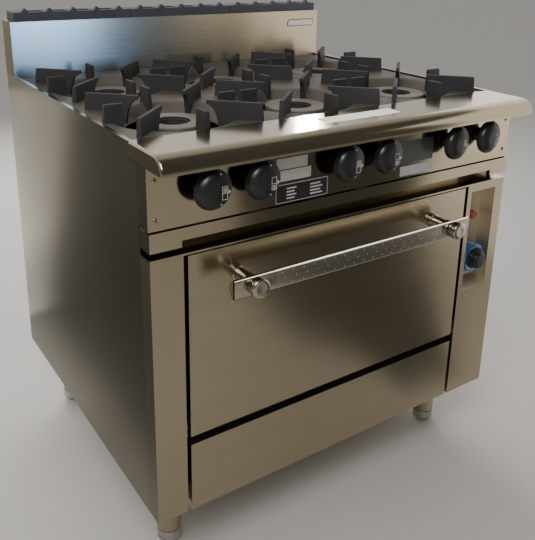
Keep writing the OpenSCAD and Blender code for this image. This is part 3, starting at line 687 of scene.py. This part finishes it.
def add_grip(bm, origin, crown, base_r, skirt, flat_x):
    """A grip turned round a (radius, height) crown and cut flat on its right. origin is the knob's back."""
    sink, flare, fillet = 0.5, 0.8, 1.0
    outline = crown + [(base_r, -skirt - fillet), (base_r + flare, sink - skirt), (0, sink - skirt)]
    part = bmesh.new()
    add_lathe(part, mm(outline), Vector(), "y", 96)
    bmesh.ops.remove_doubles(part, verts=part.verts, dist=WELD)
    geom = list(part.verts) + list(part.edges) + list(part.faces)
    bmesh.ops.bisect_plane(part, geom=geom, plane_co=(flat_x * MM, 0, 0), plane_no=(1, 0, 0),
                           clear_outer=True)
    rim = [e for e in part.edges if e.is_boundary]
    bmesh.ops.contextual_create(part, geom=rim)
    part.normal_update()
    flat = [f for f in part.faces if f.normal.x > 0.99 or f.normal.x < -0.99 and len(f.verts) > 12]
    bevel_edges(part, {e for f in flat for e in f.edges}, 1.2 * MM, 3)
    merge(bm, part, Matrix.Translation(origin))


def build_burner_knob(i):
    """A disc on a neck, with white marks on its face and a domed grip standing on the face's left."""
    node = f"burner_knob_{i}"
    origin, r, depth = round_part(node)
    drum = depth - GRIP_HEIGHT
    back = DISC_HEIGHT - drum
    bm = bmesh.new()
    side = [(0, 0), (NECK_R - 0.8, 0), (NECK_R, -0.8), (NECK_R, back), (r - 0.8, back), (r, back - 0.8),
            (r, 1.6 - drum), (r - 0.5, 0.5 - drum), (r - 1.6, -drum), (0, -drum)]
    add_lathe(bm, mm(side), origin, "y", 96)
    flat = 0.35 * r
    crown = [(0, -depth)] + [(x, -z) for x, z in arc(flat, drum, r - RIM - flat, GRIP_HEIGHT, 90, 8, 16)]
    add_grip(bm, origin, crown, r - RIM, drum, flat_x=4.5)
    face = origin + Vector((0, -drum, 0)) * MM
    add_frame_mark(bm, face, 16.5, 27.5, -21, 3)
    add_mark_box(bm, face, 17.5, 26.5, -9.5, -8.5)
    lit = -3 if i % 2 else -15   # the upper or the lower half of the frame carries the flame mark
    add_disc_mark(bm, face, 22, lit, 3.2, 2.1)
    add_disc_mark(bm, face, 22, lit, 1.0)
    add_mark_box(bm, face, 19, 25, lit - 4.6, lit - 3.9)
    add_triangle_mark(bm, face, [(28.8, -11.5), (28.8, -3.5), (33.4, -7.5)])
    add_disc_mark(bm, face, 14, 25.5, 1.7)
    add_disc_mark(bm, face, 15, -28.5, 1.8, 1.0)
    piece(f"knob_{i}_moulding", bm, [KNOB, MARK], f"knob_{i}", [node])


for i in KNOBS:
    build_burner_knob(i)


def build_thermostat_knob():
    origin, r, height = round_part("thermostat_knob")
    bm = bmesh.new()
    skirt = [(0, 0), (r - 0.6, 0), (r, -0.6), (r, -4.5), (r - 1.5, -DIAL_HEIGHT), (0, -DIAL_HEIGHT)]
    add_lathe(bm, mm(skirt), origin, "y", 72)
    edge = 5
    crown = [(0, -height), ((r - 3) * 0.5, -height + 0.15)]
    crown += [(r - 8 + x, -height + 5.6 - z) for x, z in arc(0, 0, edge, edge, 90, 12, 7)]
    add_grip(bm, origin, crown, r - 1.5, DIAL_HEIGHT, flat_x=12)
    add_disc_mark(bm, origin + Vector((0, -DIAL_HEIGHT, 0)) * MM, 15.5, 0, 1.3)
    piece("thermostat_moulding", bm, [KNOB, MARK], "thermostat_dial", ["thermostat_knob"])


def build_bezel():
    """The ring round the thermostat knob, wrapped in creased blue film."""
    origin, r, depth = round_part("thermostat_bezel")

    def creased(number, k):
        turn = k * 0.13
        rough = noise.noise(Vector((math.cos(turn) * 3, math.sin(turn) * 3, number * 0.8)))
        return min(0.0, rough) * 1.1 * MM if number > 1 else 0.0

    ring = [(r - 3, 0), (r - 1, 0), (r - 1, 9 - depth), (r, 7.5 - depth), (r - 0.3, 5 - depth),
            (r - 1.6, 1 - depth), (r - 4, -depth), (27, 0.4 - depth), (25.2, 1.6 - depth), (25, 3.4 - depth),
            (r - 3, 5 - depth), (r - 3, 0)]
    bm = bmesh.new()
    add_lathe(bm, mm(ring), origin, "y", 48, wobble=creased)
    bmesh.ops.remove_doubles(bm, verts=bm.verts, dist=WELD)
    piece("thermostat_film_ring", bm, BLUE, "root", ["thermostat_bezel"], smooth=25)


def build_igniter():
    lo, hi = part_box("igniter_button")
    origin = Vector(((lo.x + hi.x) / 2, lo.y, (lo.z + hi.z) / 2))
    cap = [(0, 0.5), (4, 0.2), (7, 0), (8.6, 0.5), (9.6, 1.6), (10, 3), (10, 9), (5, 9), (5, 28), (0, 28)]
    bm = bmesh.new()
    add_lathe(bm, mm(cap), origin, "y", 48)
    piece("igniter_cap", bm, RED, "igniter", ["igniter_button"])


build_thermostat_knob()
build_bezel()
build_igniter()


# ---------------------------------------------------------------- door handle

def build_handle():
    """A bar with a flat front and a round back, its end caps and film, and its buttons and stems."""
    lo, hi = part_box("handle_bar")
    cap_lo, cap_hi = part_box("handle_caps")
    zc = (lo.z + hi.z) / 2
    r = (hi.z - lo.z) / 2
    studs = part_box("handle_studs")
    button_r = (studs[1].z - studs[0].z) / 2
    stud_x = (studs[0].x + button_r, studs[1].x - button_r)
    corner = 5 * MM

    def section(grow):
        """The bar's outline in (y, z), grow larger all round."""
        top = arc(lo.y + corner, r - corner, corner + grow, corner + grow, 180, 90, 4)
        back = arc(lo.y + 0.5 * MM, 0, r + grow, r + grow, 82, -82, 22)
        bottom = [(y, -z) for y, z in reversed(top)]
        return [(y, zc + z) for y, z in top + back + bottom]

    def add_bar(bm, start, end, grow=0):
        add_prism(bm, section(grow), start, end, lambda y, z, x: (x, y, z))

    bm = bmesh.new()
    add_bar(bm, lo.x, hi.x)
    piece("handle_grip", bm, BRIGHT, "door", ["handle_bar"], smooth=30)

    bm = bmesh.new()
    add_bar(bm, cap_lo.x, lo.x)
    add_bar(bm, hi.x, cap_hi.x)
    piece("handle_end_caps", bm, BRIGHT, "door", ["handle_caps"], smooth=30, bevel=0.9 * MM, segments=3)

    bm = bmesh.new()
    film = (stud_x[0] + 42 * MM, stud_x[1] - 46 * MM)
    add_bar(bm, *film, 0.25 * MM)
    piece("handle_film_sleeve", bm, FILM, "door", smooth=30)

    bm = bmesh.new()
    columns, rows, shift = 17, (11, 0, -11), 8 * MM
    dot = mm([(0, -0.12), (0.9, -0.12), (0.9, 0)])
    for col in range(columns):
        x = film[0] + (film[1] - film[0]) * (col + 0.5) / columns
        for row, z in enumerate(rows):
            spot = Vector((x + (row % 2) * shift, lo.y - 0.24 * MM, zc + z * MM))
            add_lathe(bm, dot, spot, "y", 12)
    piece("handle_film_dots", bm, PAPER, "door")

    bm = bmesh.new()
    length = (studs[1].y - lo.y - r) / MM
    button = [(0, 0.35), (9, 0.2), (14, 0), (16.4, 0.35), (17.9, 1.5), (18.5, 3.2), (18.5, 12.6),
              (17.8, 13.8), (15.4, 14.4), (15, 15.4), (15, 16.6), (17.6, 17), (17.6, 18), (6, 18)]
    stem = [(12, -6), (15, -6), (15, 2), (14.2, 3.2), (12.8, 4), (12.8, length - 10), (13.4, length - 8.5),
            (15, length - 8), (15, length - 0.6), (14.4, length), (0, length)]
    for x in stud_x:
        add_lathe(bm, mm(button), Vector((x, studs[0].y, zc)), "y", 72)
        add_lathe(bm, mm(stem), Vector((x, lo.y + r, zc)), "y", 72)
    piece("handle_buttons", bm, BRIGHT, "door", ["handle_studs"])


build_handle()


# ---------------------------------------------------------------- labels and small trim

def add_card(bm, area, y, thick=0.4, radius=1.0, index=0):
    """A thin plate in front of the plane y. area is (left, right, bottom, top), in millimetres."""
    add_prism(bm, rounded(*area, radius, 3), 0, thick, lambda u, v, d: at(u, y - d, v), index)


def build_labels():
    """Blank plates and stickers on the control panel. A raised card in another colour stands for print."""
    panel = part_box("control_panel")[0]
    face = from_door(panel.y)
    base = panel.z / MM   # the panel's lower edge
    bm = bmesh.new()
    add_card(bm, (-196, -126, base + 67, base + 88), face)
    piece("plate_upper", bm, GREY_LABEL, "root")

    bm = bmesh.new()
    add_card(bm, (-187, -117, base + 44, base + 65), face)
    piece("plate_lower", bm, GREY_LABEL, "root")

    bm = bmesh.new()
    left, right, bottom, top, rim = -196, -76, base + 2, base + 38, 1.4
    add_card(bm, (left, right, bottom, top), face, 0.5)
    add_card(bm, (left + rim, right - rim, bottom + rim, top - rim), face, 0.62, 0.6, 1)
    for row in range(4):
        z = top - 9 - row * 6.4
        odd = row % 2
        add_card(bm, (-172, -150 - 4 * odd, z - 1.5, z + 1.5), face, 0.7, 0.4, 2)
        add_card(bm, (-118, -94 + 5 * odd, z - 1.5, z + 1.5), face, 0.7, 0.4, 2)
    piece("rating_plate_blank", bm, [PAPER, BLACK_LABEL, GREY_LABEL], "root")

    bm = bmesh.new()
    add_card(bm, (96, 206, base + 31, base + 79), face, 0.3, 3)
    piece("label_dull", bm, DULL_LABEL, "root")

    bm = bmesh.new()
    add_card(bm, (114, 201, base + 4, base + 25), face)
    for row in range(3):
        z = base + 9 + row * 5
        add_card(bm, (119, 196 - 9 * row, z, z + 1), face, 0.5, 0.3, 1)
    piece("label_lined", bm, [PAPER, GREY_LABEL], "root")


build_labels()


def build_tape():
    """A strip of blank tape with torn long edges, lying on the ledge."""
    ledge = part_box("front_ledge")[1]
    top = ledge.z / MM
    left, right = -82, 105
    front, back = from_door(ledge.y) - 70, from_door(ledge.y) - 30
    steps = 46
    stuck = 0.06   # the height of its edges

    def rough(x, lane):
        return noise.noise(Vector((x, lane, 0)))

    bm = bmesh.new()
    rows = []
    for k in range(steps + 1):
        x = left + (right - left) * k / steps
        near = front + 2.2 * rough(x * 0.21, 0.5) + 1.3 * rough(x * 0.7, 3.5) + 9 * max(0.0, k / steps - 0.8)
        far = back + 1.6 * rough(x * 0.3, 7.5)
        lift = 0.35 + 0.5 * abs(rough(x * 0.05, 1.0))
        profile = ((0, stuck), (0.1, lift), (0.5, lift * 0.7), (0.9, lift), (1, stuck))
        rows.append([bm.verts.new(at(x, near + (far - near) * t, top + h)) for t, h in profile])
    for a, b in zip(rows, rows[1:]):
        for j in range(len(a) - 1):
            bm.faces.new((a[j], b[j], b[j + 1], a[j + 1]))
    piece("ledge_tape", bm, TAPE, "root", solid=0.12 * MM)


build_tape()


def build_badge():
    """A blank badge with slanted ends and a raised face, near the splashback's right end."""
    lo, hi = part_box("splashback_panel")
    y = from_door(lo.y)
    width, height, rim, slant = 93, 20, 2, 0.12
    right, top = hi.x / MM - 16, hi.z / MM - 24
    left, bottom = right - width, top - height
    middle = top - height / 2
    bm = bmesh.new()
    for inset, radius, thick, index in ((0, 6, 1.0, 0), (rim, 5, 1.3, 1)):
        outline = rounded(left + inset, right - inset, bottom + inset, top - inset, radius, 6)
        add_prism(bm, outline, 0, thick, lambda u, v, d: at(u + (v - middle) * slant, y - d, v), index)
    piece("badge_blank", bm, [BADGE_RIM, BADGE], "root", bevel=0.3 * MM)


build_badge()


def add_screw(bm, origin, facing, r=4.6, height=2.2):
    """A pan head with a dark cross, painted shade standing for its recess, looking along -Y when facing is -1
    and along +Y when it is 1.
    """
    head = [(0, 0.9), (0.45, 1), (0.75, 0.85), (0.95, 0.5), (1, 0)]
    add_lathe(bm, mm((a * r, b * height * facing) for a, b in head), origin, "y", 24)
    face = facing * height * 1.02
    long, short = r * 0.5, r * 0.12
    # The cross is a flat dark-iron mark in front of the head: painted shade for the recess.
    for w, h in ((long, short), (short, long)):
        add_box(bm, origin + Vector((-w, face - 0.05, -h)) * MM, origin + Vector((w, face + 0.02, h)) * MM, 1)


def build_panel_screws():
    lo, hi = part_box("panel_screws")
    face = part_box("control_panel")[0].y
    r = 4.6 * MM
    bm = bmesh.new()
    for x in (lo.x + r, hi.x - r):
        for z in (lo.z + r, hi.z - r):
            add_screw(bm, Vector((x, face, z)), -1)
    piece("panel_screw_heads", bm, [BRIGHT, DARK_IRON], "root", ["panel_screws"])


def build_rear_trim():
    """Screws round the rear panel, and a blank plate on it."""
    lo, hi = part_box("rear_panel")
    base = lo.z / MM
    edge = hi.x / MM - 14
    rows = [base + rise for rise in (28, 208, 388, 568, 706)]
    spots = [(x, z) for z in rows for x in (-edge, edge)] + [(145 * k, rows[0]) for k in range(-2, 3)]
    bm = bmesh.new()
    for x, z in spots:
        add_screw(bm, Vector((x * MM, hi.y, z * MM)), 1, 4.2, 1.8)
    piece("rear_screw_heads", bm, [BRIGHT, DARK_IRON], "root")

    y = from_door(hi.y)
    half, bottom, top, rim = 60, base + 478, base + 538, 3
    bm = bmesh.new()
    for inset, radius, thick, index in ((0, 3, 0.6, 0), (rim, 2, 0.8, 1)):
        outline = rounded(inset - half, half - inset, bottom + inset, top - inset, radius, 4)
        add_prism(bm, outline, 0, thick, lambda u, v, d: at(u, y + d, v), index)
    piece("rear_plate_blank", bm, [BRIGHT, GREY_LABEL], "root")


build_panel_screws()
build_rear_trim()


def build_inlet_thread():
    """Thread rings and a hexagon collar round the gas inlet."""
    x, z = 425, 795
    end = from_door(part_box("gas_manifold")[1].y)
    root_r, crest_r, pitch, turns = 12.2, 13.35, 1.81, 9
    hexagon_r = 15.0
    outline = [(12.6, end - 27)]
    for k in range(turns):
        y = end - 19 + k * pitch
        outline += [(root_r, y), (crest_r, y + pitch / 2)]
    outline += [(root_r, end - 1), (11.4, end), (9.4, end), (9.2, end - 12), (0, end - 12)]
    bm = bmesh.new()
    add_lathe(bm, mm(outline), at(x, 0, z), "y", 48)
    hexagon = [(hexagon_r * math.cos(TAU * k / 6), hexagon_r * math.sin(TAU * k / 6)) for k in range(6)]
    add_prism(bm, hexagon, end - 28.5, end - 20, lambda u, v, d: at(x + u, d, z + v))
    piece("gas_inlet_thread", bm, BRASS, "root", smooth=25)


build_inlet_thread()


# ---------------------------------------------------------------- stage, light and camera

def add_sheet(name, outline, z, shader):
    """A flat sheet of the studio."""
    bm = bmesh.new()
    bm.faces.new([bm.verts.new((x, y, z)) for x, y in outline])
    mesh = bpy.data.meshes.new(name)
    bm.to_mesh(mesh)
    bm.free()
    mesh.materials.append(shader.material)
    sheet = bpy.data.objects.new(name, mesh)
    bpy.context.scene.collection.objects.link(sheet)
    return sheet


def build_stage():
    reach = 80
    outline = ((-reach, -reach), (reach, -reach), (reach, reach), (-reach, reach))
    shader = Shader("floor_pale", base=(0.78, 0.755, 0.72), roughness=0.85, specular=0.1)
    floor = add_sheet("floor", outline, 0, shader)


def add_area(name, position, target, size, power, colour=(1, 1, 1)):
    """A soft box that lights the scene, unseen by the camera."""
    light = bpy.data.lights.new(name, "AREA")
    light.shape = "RECTANGLE"
    light.size, light.size_y = size
    light.energy = power
    light.color = colour
    lamp = bpy.data.objects.new(name, light)
    lamp.location = position
    lamp.rotation_euler = (Vector(target) - Vector(position)).to_track_quat("-Z", "Y").to_euler()
    lamp.visible_camera = False
    bpy.context.scene.collection.objects.link(lamp)
    return lamp


def restrict(lamp, prefix):
    """Lets a lamp shine only on the objects whose names start with prefix, or with one of a tuple of them."""
    group = bpy.data.collections.new(lamp.name)
    for shown in bpy.data.objects:
        if shown.name.startswith(prefix):
            group.objects.link(shown)
    lamp.light_linking.receiver_collection = group


def add_reflector(name, position, facing, size, radiance, colour=(1, 1, 1), roll=0, only=None):
    """A glowing card that only shows in reflections, or only in those of the objects that only names."""
    power = math.pi * size[0] * size[1] * radiance
    lamp = add_area(name, position, Vector(position) + Vector(facing), size, power, colour)
    lamp.rotation_euler.rotate_axis("Z", math.radians(roll))
    lamp.visible_diffuse = False
    if only:
        restrict(lamp, only)


def add_flag(name, outline, shades):
    """A dull sheet on the floor that only shows in reflections. shades are (x, grey) stops along X."""
    shader = Shader(name, roughness=0.9, specular=0.0)
    x = shader.node("SeparateXYZ", {0: shader.position()}).outputs[0]
    first, last = shades[0][0], shades[-1][0]
    stops = [((place - first) / (last - first), grey) for place, grey in shades]
    shader.set(base=shader.ramp(shader.remap(x, (first, last), (0, 1)), stops))
    flag = add_sheet(name, outline, 1.5 * MM, shader)
    flag.visible_camera = False
    flag.visible_diffuse = False
    flag.visible_shadow = False


def build_world():
    """A soft studio: bright behind, dim in front."""
    world = bpy.data.worlds.new("studio")
    bpy.context.scene.world = world
    world.use_nodes = True
    tree = world.node_tree
    coords = tree.nodes.new("ShaderNodeTexCoord")
    split = tree.nodes.new("ShaderNodeSeparateXYZ")
    shift = tree.nodes.new("ShaderNodeMapRange")
    shift.inputs["From Min"].default_value = -1
    ramp = tree.nodes.new("ShaderNodeValToRGB")
    front_to_back = ((0, 0.09), (0.45, 0.12), (0.62, 0.6), (0.84, 0.85), (1, 1.5))
    fill_ramp(ramp.color_ramp, front_to_back, "EASE", (1, 0.99, 0.97))
    background = tree.nodes["Background"]
    background.inputs["Strength"].default_value = 0.9
    tree.links.new(coords.outputs["Generated"], split.inputs[0])
    tree.links.new(split.outputs["Y"], shift.inputs["Value"])
    tree.links.new(shift.outputs["Result"], ramp.inputs["Fac"])
    tree.links.new(ramp.outputs["Color"], background.inputs["Color"])


def build_lights():
    """Two soft boxes, a lamp for the tape alone, and cards that stand for the room that the steel mirrors."""
    add_area("key", (-1.6, -1.6, 2.6), (0, 0, 0.5), (1.8, 1.4), 45)
    rear = add_area("rear", (0.6, 2.6, 1.9), (0, 0.4, 0.6), (2.4, 1.2), 60, WARM)
    rear.visible_glossy = False
    add_reflector("glint", (1.46, 1.71, 1.53), (-1.57, -2.06, -0.64), (0.07, 0.3), 260,
                  only="front_ledge_bullnose")
    add_reflector("card_right", (1.45, -0.48, 1.15), LEFTWARD, (2.16, 1.5), 1.25, WARM)
    add_reflector("card_right_low", (1.45, -0.48, 0.2), LEFTWARD, (2.16, 0.4), 0.8, WARM)
    add_reflector("card_rear_left", (-0.58, 0.85, 0.37), FORWARD, (0.2, 0.78), 0.45, roll=-10)
    for name, x, width, radiance, colour in WALL:
        add_reflector(name, (x, -2.6, 1.2), BACKWARD, (width, 2.2), radiance, colour, only="splashback_panel")
    add_reflector("knob_strip", (-1.0, -1.8, 2.0), (0.9, 1.4, -1.2), (0.25, 1.0), 30, (0.9, 0.95, 1.0),
                  roll=30, only="knob_")
    add_reflector("strip_over", (1.2, -0.95, 2.1), (-1.1, 0.5, -1.5), (2.2, 0.9), 5,
                  only=("handle_grip", "handle_film_sleeve", "handle_end_caps"))
    add_reflector("recess_fill", (-0.2, -1.6, 0.9), (0.6, 1.2, -0.4), (0.8, 0.8), 5, (1.0, 0.95, 0.85),
                  only="column_recess")
    paper_light = add_area("paper_light", (-0.4, -1.3, 2.3), (0, -0.35, 0.9), (0.7, 0.7), 26,
                           (1.0, 0.97, 0.9))
    restrict(paper_light, "ledge_tape")
    add_flag("flag_front", [(0.42, -0.6), (0.6, -0.58), (1.55, -1.67), (3.0, -2.8), (3.3, -4.0), (1.8, -4.0),
                            (1.15, -2.8), (0.8, -2.1), (0.38, -1.5), (0.32, -1.0), (0.42, -0.8)],
             [(0.2, 0.3), (0.45, 0.12), (3.3, 0.12)])
    add_flag("flag_left", [(-0.46, -0.5), (-0.46, 0.82), (-0.82, 1.6), (-1.15, 3.2), (-1.5, 4.6), (-3.4, 4.6),
                           (-2.2, 1.5), (-1.2, -0.3)],
             [(-2.6, 0.2), (-1.4, 0.1), (-0.66, 0.025), (-0.56, 0.4), (-0.46, 0.5)])


def build_camera():
    camera = bpy.data.cameras.new("camera")
    camera.sensor_width = 36
    camera.lens = 48
    camera.shift_x = -0.0141
    camera.shift_y = -0.1774
    pitch, roll, yaw = 72.142, -1.229, -34.339
    view = bpy.data.objects.new("camera", camera)
    view.location = (-0.90307, -1.38843, 1.21247)
    view.rotation_euler = Euler([math.radians(angle) for angle in (pitch, roll, yaw)], "XYZ")
    bpy.context.scene.collection.objects.link(view)
    bpy.context.scene.camera = view


WARM = (1.0, 0.98, 0.95)
LEFTWARD, FORWARD, BACKWARD = (-1, 0, 0), (0, -1, 0), (0, 1, 0)
WALL = (   # the cards behind the camera: name, x, width, radiance and colour
    ("window_front", 0.53, 0.62, 17, (0.25, 0.48, 1.0)),
    ("wall_front", 1.17, 0.66, 0.38, (0.5, 0.7, 1.0)),
    ("wall_front_lit", 1.72, 0.44, 1.2, (1.0, 0.95, 0.9)),
    ("wall_front_right", 2.65, 1.42, 0.45, (1.0, 0.92, 0.84)),
)
build_stage()
build_world()
build_lights()
build_camera()
